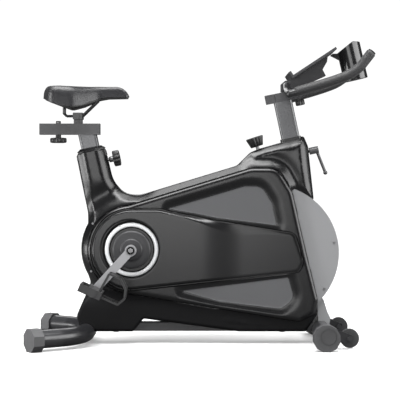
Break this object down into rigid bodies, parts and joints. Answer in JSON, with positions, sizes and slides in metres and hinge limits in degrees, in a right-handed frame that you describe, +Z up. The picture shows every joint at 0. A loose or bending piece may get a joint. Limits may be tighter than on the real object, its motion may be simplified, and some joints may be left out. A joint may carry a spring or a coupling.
{
  "type": "exercise bike",
  "caption": "Upright indoor exercise bike with enclosed flywheel, belt drive, adjustable saddle and handlebar, tablet and bottle holders, and transport wheels.",
  "frame": {"origin": "centre of the overall footprint, on the floor", "axes": "+X forward to the handlebar, +Y to the rider's left, +Z up"},
  "size_m": [1.1371, 0.5568, 1.018],
  "materials": {
    "frame_paint": "satin",
    "shell_plastic": "satin",
    "cover_plastic": "satin",
    "wing_plastic": "satin",
    "trim_silver": "satin silver",
    "guard_plastic": "satin",
    "collar_plastic": "satin",
    "fastener_steel": "brushed",
    "bearing_steel": "ground",
    "belt_rubber": "matte",
    "flywheel_iron": "machined",
    "pulley_plastic": "moulded",
    "pulley_metal": "turned",
    "crank_silver": "satin silver grey",
    "pedal_plastic": "moulded",
    "post_metal": "satin",
    "rail_paint": "satin",
    "knob_plastic": "satin",
    "saddle_vinyl": "grained vinyl",
    "saddle_plastic": "satin",
    "rail_steel": "satin",
    "bar_paint": "satin",
    "grip_foam": "foam",
    "holder_plastic": "satin",
    "cup_plastic": "gloss",
    "lever_grey": "satin",
    "pad_felt": "felt",
    "wheel_rubber": "matte",
    "cap_plastic": "satin"
  },
  "bodies": {
    "frame": {"base_beam": "frame_paint", "rear_stabiliser": "frame_paint", "front_stabiliser": "frame_paint", "main_frame": "frame_paint", "right_body_shell": "shell_plastic", "left_body_shell": "shell_plastic", "right_side_cover": "cover_plastic", "left_side_cover": "cover_plastic", "right_wing_cover": "wing_plastic", "left_wing_cover": "wing_plastic", "crank_trim_rings": "trim_silver", "flywheel_guards": "guard_plastic", "seat_collar": "collar_plastic", "head_collar": "collar_plastic", "front_foot_cover": "cover_plastic", "cover_screws": "fastener_steel", "base_bolts": "fastener_steel", "drive_belt": "belt_rubber", "crank_bearings": "bearing_steel", "flywheel_axle": "fastener_steel", "wheel_brackets": "frame_paint"},
    "flywheel_group": {"flywheel": "flywheel_iron", "flywheel_pulley": "pulley_metal", "flywheel_bearings": "bearing_steel"},
    "crank_set": {"crank_spindle": "fastener_steel", "drive_pulley": "pulley_plastic", "right_crank_arm": "crank_silver", "left_crank_arm": "crank_silver", "crank_covers": "collar_plastic", "pedal_spindles": "fastener_steel"},
    "pedal_right": {"right_pedal": "pedal_plastic", "right_toe_cage": "pedal_plastic"},
    "pedal_left": {"left_pedal": "pedal_plastic", "left_toe_cage": "pedal_plastic"},
    "seat_mast": {"seat_post": "post_metal", "seat_rail": "rail_paint"},
    "seat_carriage": {"seat_slider": "rail_paint"},
    "seat_carriage_knob": {"seat_slide_knob": "knob_plastic"},
    "saddle_group": {"saddle": "saddle_vinyl", "saddle_base": "saddle_plastic", "saddle_rails": "rail_steel"},
    "seat_pin": {"seat_pin_knob": "knob_plastic"},
    "bar_mast": {"handlebar_post": "post_metal", "handlebar_rail": "rail_paint"},
    "bar_carriage": {"handlebar_slider": "rail_paint", "handlebar": "bar_paint", "handlebar_grips": "grip_foam", "tablet_holder": "holder_plastic", "bottle_holder": "cup_plastic"},
    "bar_carriage_knob": {"handlebar_slide_knob": "knob_plastic"},
    "head_lever": {"head_clamp_lever": "lever_grey"},
    "resistance_push": {"resistance_rod": "fastener_steel", "brake_pad": "pad_felt"},
    "resistance_dial": {"resistance_knob": "knob_plastic"},
    "wheel_right": {"right_transport_wheel": "wheel_rubber"},
    "wheel_left": {"left_transport_wheel": "wheel_rubber"},
    "cap_front_right": {"front_right_cap": "cap_plastic"},
    "cap_front_left": {"front_left_cap": "cap_plastic"},
    "cap_rear_right": {"rear_right_cap": "cap_plastic"},
    "cap_rear_left": {"rear_left_cap": "cap_plastic"}
  },
  "joints": [
    {"name": "flywheel_spin", "type": "hinge", "parent": "frame", "child": "flywheel_group", "pos_m": [0.246, 0, 0.299], "axis": [0, 1, 0], "continuous": true},
    {"name": "crank_spin", "type": "hinge", "parent": "frame", "child": "crank_set", "pos_m": [-0.234, 0, 0.318], "axis": [0, 1, 0], "continuous": true},
    {"name": "right_pedal_spin", "type": "hinge", "parent": "crank_set", "child": "pedal_right", "pos_m": [-0.35144, -0.18, 0.18826], "axis": [0, 1, 0], "continuous": true},
    {"name": "left_pedal_spin", "type": "hinge", "parent": "crank_set", "child": "pedal_left", "pos_m": [-0.11656, 0.18, 0.44774], "axis": [0, 1, 0], "continuous": true},
    {"name": "seat_height", "type": "slide", "parent": "frame", "child": "seat_mast", "axis": [-0.2079, 0, 0.9781], "range_m": [-0.02, 0.2]},
    {"name": "seat_fore_aft", "type": "slide", "parent": "seat_mast", "child": "seat_carriage", "axis": [1, 0, 0], "range_m": [-0.04, 0.04]},
    {"name": "seat_slide_knob_turn", "type": "hinge", "parent": "seat_carriage", "child": "seat_carriage_knob", "pos_m": [-0.4855, 0, 0.7], "axis": [0, 0, 1], "range_deg": [-180, 180]},
    {"name": "saddle_tilt", "type": "hinge", "parent": "seat_carriage", "child": "saddle_group", "pos_m": [-0.418, 0, 0.764], "axis": [0, 1, 0], "range_deg": [-5, 5]},
    {"name": "seat_pin_pull", "type": "slide", "parent": "frame", "child": "seat_pin", "axis": [0.9781, 0, 0.2079], "range_m": [0, 0.012], "stiffness_N_per_m": 800, "springref_m": -0.004},
    {"name": "handlebar_height", "type": "slide", "parent": "frame", "child": "bar_mast", "axis": [-0.2079, 0, 0.9781], "range_m": [-0.03, 0.09]},
    {"name": "handlebar_fore_aft", "type": "slide", "parent": "bar_mast", "child": "bar_carriage", "axis": [0.9799, 0, 0.1994], "range_m": [-0.06, 0]},
    {"name": "handlebar_slide_knob_turn", "type": "hinge", "parent": "bar_mast", "child": "bar_carriage_knob", "pos_m": [0.32727, 0, 0.84275], "axis": [0.1994, 0, -0.9799], "range_deg": [-180, 180]},
    {"name": "head_lever_turn", "type": "hinge", "parent": "frame", "child": "head_lever", "pos_m": [0.31334, 0, 0.63692], "axis": [0.9781, 0, 0.2079], "range_deg": [-90, 90]},
    {"name": "resistance_knob_push", "type": "slide", "parent": "frame", "child": "resistance_push", "axis": [0.3074, 0, -0.9516], "range_m": [0, 0.005], "stiffness_N_per_m": 1200, "springref_m": -0.005},
    {"name": "resistance_knob_turn", "type": "hinge", "parent": "resistance_push", "child": "resistance_dial", "pos_m": [0.1895, 0, 0.66], "axis": [-0.3074, 0, 0.9516], "range_deg": [0, 720]},
    {"name": "right_transport_wheel_spin", "type": "hinge", "parent": "frame", "child": "wheel_right", "pos_m": [0.482, -0.17, 0.036], "axis": [0, 1, 0], "continuous": true},
    {"name": "left_transport_wheel_spin", "type": "hinge", "parent": "frame", "child": "wheel_left", "pos_m": [0.482, 0.17, 0.036], "axis": [0, 1, 0], "continuous": true},
    {"name": "front_right_cap_turn", "type": "hinge", "parent": "frame", "child": "cap_front_right", "pos_m": [0.402, -0.225, 0.046], "axis": [0, 1, 0], "range_deg": [-180, 180]},
    {"name": "front_left_cap_turn", "type": "hinge", "parent": "frame", "child": "cap_front_left", "pos_m": [0.402, 0.225, 0.046], "axis": [0, 1, 0], "range_deg": [-180, 180]},
    {"name": "rear_right_cap_turn", "type": "hinge", "parent": "frame", "child": "cap_rear_right", "pos_m": [-0.53207, -0.23379, 0.039], "axis": [-0.8192, -0.5736, 0], "range_deg": [-180, 180]},
    {"name": "rear_left_cap_turn", "type": "hinge", "parent": "frame", "child": "cap_rear_left", "pos_m": [-0.53207, 0.23379, 0.039], "axis": [-0.8192, 0.5736, 0], "range_deg": [-180, 180]}
  ],
  "couplings": [
    {"joint": "crank_spin", "follows": "flywheel_spin", "ratio": 0.25}
  ]
}
